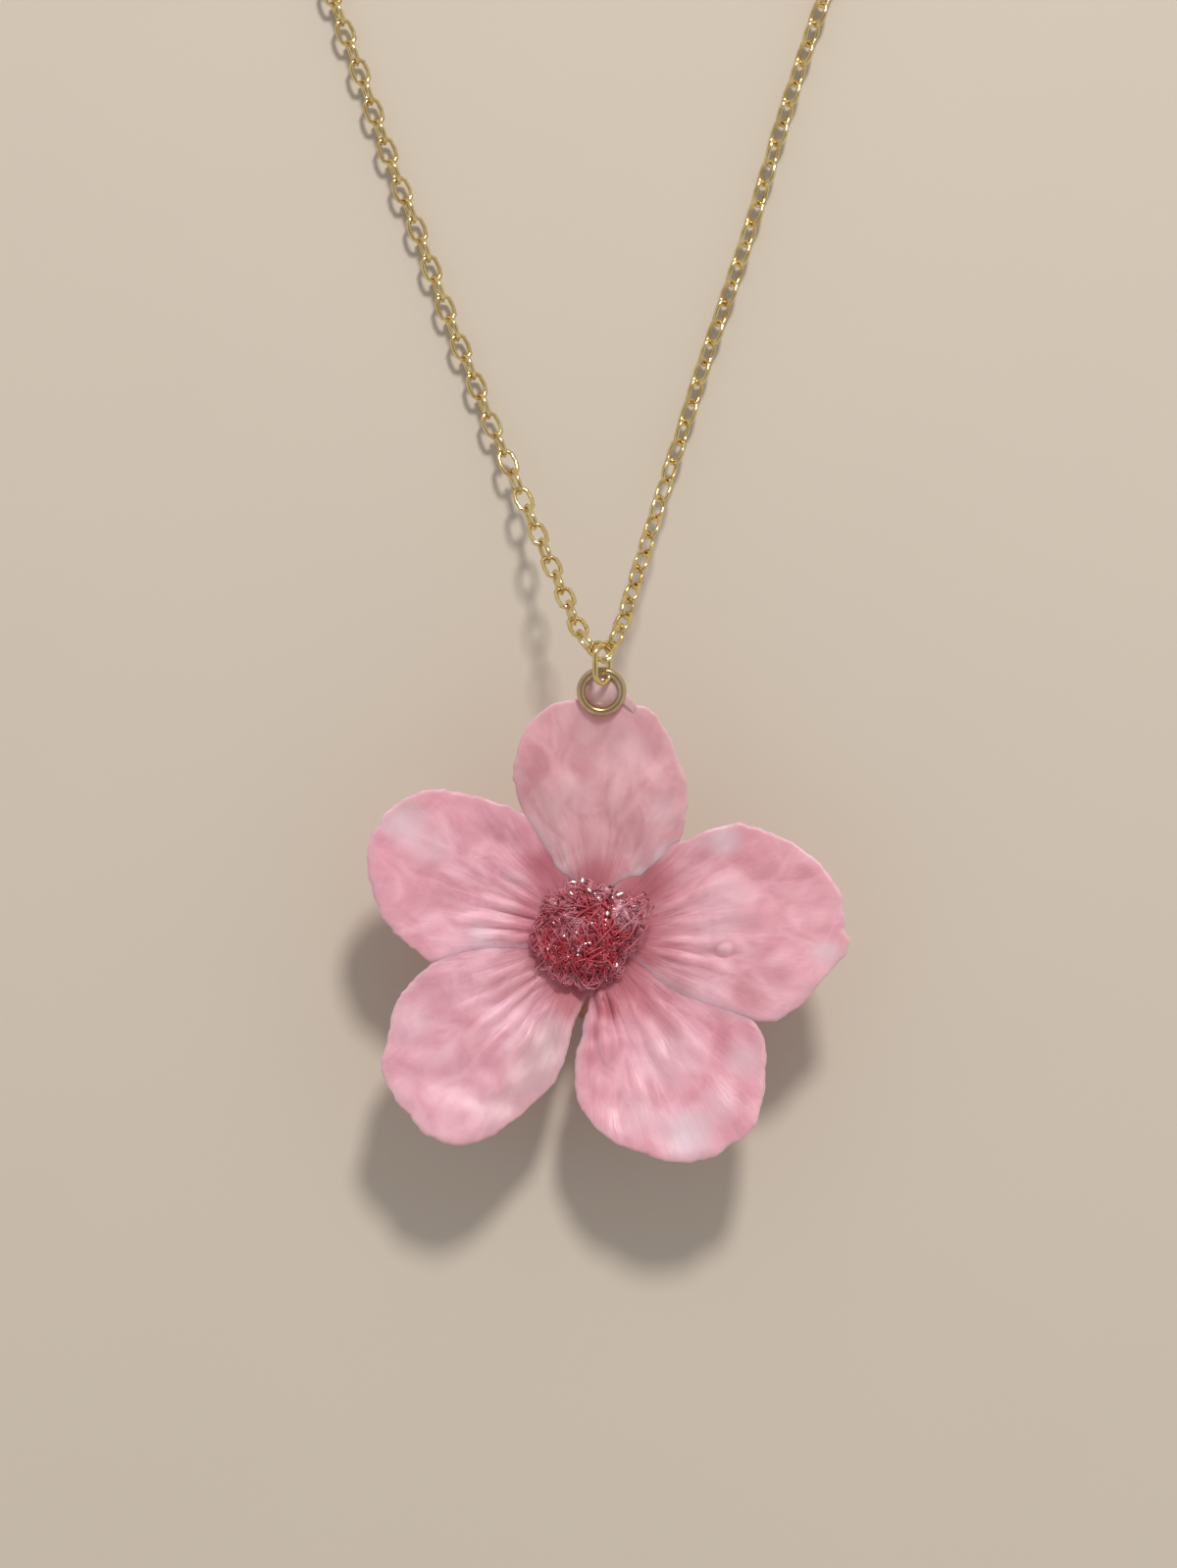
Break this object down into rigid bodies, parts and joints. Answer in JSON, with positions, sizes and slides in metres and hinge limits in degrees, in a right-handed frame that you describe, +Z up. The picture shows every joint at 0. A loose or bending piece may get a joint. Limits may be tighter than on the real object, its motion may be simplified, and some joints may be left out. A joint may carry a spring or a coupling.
{
  "type": "cherry blossom pendant",
  "caption": "Open five-petalled pink cherry blossom under a clear coat, with a gold ring set in its top petal, an oval link and a fine gold cable chain.",
  "frame": {"origin": "on the surface that the blossom lies on, under the middle of the blossom with its ring and connecting link (the chain is not counted)", "axes": "+Z up out of the flower's face, +Y from the flower towards the ring and the chain, +X to the flower's right as its face is looked at"},
  "size_m": [0.0447, 0.1053, 0.0106],
  "materials": {
    "petals": "satin",
    "stamens": "gloss",
    "calyx": "satin",
    "gold": "polished"
  },
  "bodies": {
    "root": {"petal_top": "petals", "petal_left": "petals", "petal_lower_left": "petals", "petal_lower_right": "petals", "petal_right": "petals", "stamen_01": "stamens", "stamen_02": "stamens", "stamen_03": "stamens", "stamen_04": "stamens", "stamen_05": "stamens", "stamen_06": "stamens", "stamen_07": "stamens", "stamen_08": "stamens", "stamen_09": "stamens", "stamen_10": "stamens", "stamen_11": "stamens", "stamen_12": "stamens", "stamen_13": "stamens", "stamen_14": "stamens", "stamen_15": "stamens", "stamen_16": "stamens", "stamen_17": "stamens", "stamen_18": "stamens", "stamen_19": "stamens", "stamen_20": "stamens", "stamen_21": "stamens", "stamen_22": "stamens", "stamen_23": "stamens", "stamen_24": "stamens", "pistil": "stamens", "calyx": "calyx", "embedded_ring": "gold", "connecting_link": "gold", "chain_left": "gold", "chain_right": "gold", "chain_coil_left": "gold", "chain_coil_right": "gold", "clasp_hook": "gold", "clasp_ring": "gold"}
  },
  "joints": []
}
